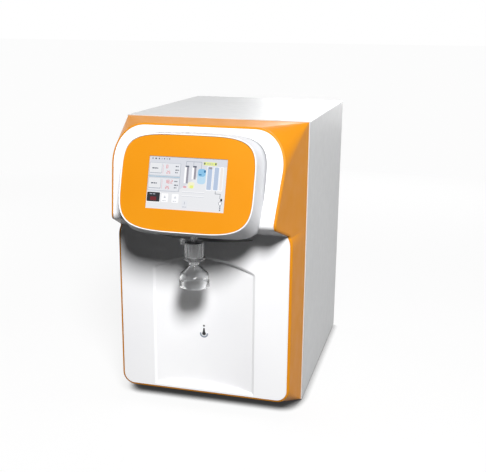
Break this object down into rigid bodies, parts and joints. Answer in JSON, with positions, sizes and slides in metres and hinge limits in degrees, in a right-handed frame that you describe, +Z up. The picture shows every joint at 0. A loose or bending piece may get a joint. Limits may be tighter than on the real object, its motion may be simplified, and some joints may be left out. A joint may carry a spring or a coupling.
{
  "type": "ultrapure water system",
  "caption": "Bench water purifier: square steel cover, tapered orange and white front, leaning display pod, end filter with filling bell, rear connections.",
  "frame": {"origin": "on the bench plane, under the middle of the overall box", "axes": "+X to the right seen from the front, +Y from the front to the rear panel, +Z up"},
  "size_m": [0.34, 0.6223, 0.53],
  "materials": {
    "cover_steel": "semi-matt powder coat, light grey",
    "orange_moulding": "glossy orange moulding",
    "white_moulding": "satin white moulding",
    "pod_white": "satin white moulding",
    "screen_glass": "clear hardened glass",
    "screen": "lit liquid crystal panel",
    "board_green": "solder-masked circuit board",
    "capsule_dark": "dark blue-grey moulding",
    "capsule_white": "milky polypropylene",
    "membrane": "pleated membrane",
    "bell_clear": "clear moulded plastic",
    "zinc_steel": "zinc-plated sheet",
    "stainless": "stainless steel",
    "rear_paint": "semi-matt powder coat",
    "black_plastic": "black moulding",
    "rubber_black": "soft rubber",
    "rocker_black": "black moulding",
    "port_grey": "acetal",
    "collet_blue": "coloured acetal",
    "cartridge_white": "white polypropylene",
    "lamp_glass": "quartz",
    "aluminium": "plain aluminium",
    "tube_white": "polyethylene tube"
  },
  "bodies": {
    "housing": {"cover": "cover_steel", "base_pan": "zinc_steel", "feet": "rubber_black", "front_frame": "orange_moulding", "front_bulkhead": "zinc_steel", "case_screws": "stainless", "head_panel": "white_moulding", "lower_panel": "white_moulding", "pod_bracket": "zinc_steel", "pod_shell": "pod_white", "pod_fascia": "orange_moulding", "touch_glass": "screen_glass", "lcd_panel": "screen", "display_board": "board_green", "outlet_fitting": "capsule_white", "capsule_cap": "capsule_dark", "capsule_body": "capsule_white", "capsule_membrane": "membrane", "filling_bell": "bell_clear", "rear_panel": "rear_paint", "fan_frame": "black_plastic", "fan_guard": "stainless", "mains_inlet": "black_plastic", "switch_frame": "black_plastic", "divider": "zinc_steel", "shelf": "zinc_steel", "prefilter_cartridge": "cartridge_white", "polishing_cartridges": "cartridge_white", "cartridge_heads": "port_grey", "membrane_vessel": "cartridge_white", "osmosis_membrane": "membrane", "vessel_cap": "port_grey", "lamp_chamber": "stainless", "lamp_caps": "port_grey", "uv_lamp": "lamp_glass", "lamp_ballast": "aluminium", "pump_motor": "black_plastic", "pump_head": "port_grey", "pump_mounts": "rubber_black", "circulation_pump": "port_grey", "valve_bodies": "port_grey", "valve_coils": "black_plastic", "valve_brackets": "zinc_steel", "power_supply": "aluminium", "control_board": "board_green", "board_posts": "cartridge_white", "quality_cell": "port_grey", "inner_tubes": "tube_white", "port_feed": "port_grey", "port_drain": "port_grey", "port_tank": "port_grey"},
    "rocker": {"rocker": "rocker_black"},
    "vent": {"vent_screw": "capsule_white"},
    "fan_wheel": {"fan_rotor": "black_plastic"},
    "fuse_drawer": {"fuse_drawer": "black_plastic"},
    "collet_feed": {"collet_feed": "collet_blue"},
    "collet_drain": {"collet_drain": "collet_blue"},
    "collet_tank": {"collet_tank": "collet_blue"}
  },
  "joints": [
    {"name": "rocker_tilt", "type": "hinge", "parent": "housing", "child": "rocker", "pos_m": [-0.112, 0.28811, 0.121], "axis": [1, 0, 0], "range_deg": [-18, 0]},
    {"name": "vent_turn", "type": "hinge", "parent": "housing", "child": "vent", "pos_m": [-0.0215, -0.24739, 0.334], "axis": [0, 0, 1], "range_deg": [0, 360]},
    {"name": "fan_spin", "type": "hinge", "parent": "housing", "child": "fan_wheel", "pos_m": [-0.08, 0.27661, 0.403], "axis": [0, 1, 0], "continuous": true},
    {"name": "fuse_drawer_slide", "type": "slide", "parent": "housing", "child": "fuse_drawer", "axis": [0, 1, 0], "range_m": [0, 0.012]},
    {"name": "collet_feed_press", "type": "slide", "parent": "housing", "child": "collet_feed", "axis": [0, -1, 0], "range_m": [0, 0.0015], "stiffness_N_per_m": 600, "springref_m": -0.0005},
    {"name": "collet_drain_press", "type": "slide", "parent": "housing", "child": "collet_drain", "axis": [0, -1, 0], "range_m": [0, 0.0015], "stiffness_N_per_m": 600, "springref_m": -0.0005},
    {"name": "collet_tank_press", "type": "slide", "parent": "housing", "child": "collet_tank", "axis": [0, -1, 0], "range_m": [0, 0.0015], "stiffness_N_per_m": 600, "springref_m": -0.0005}
  ]
}
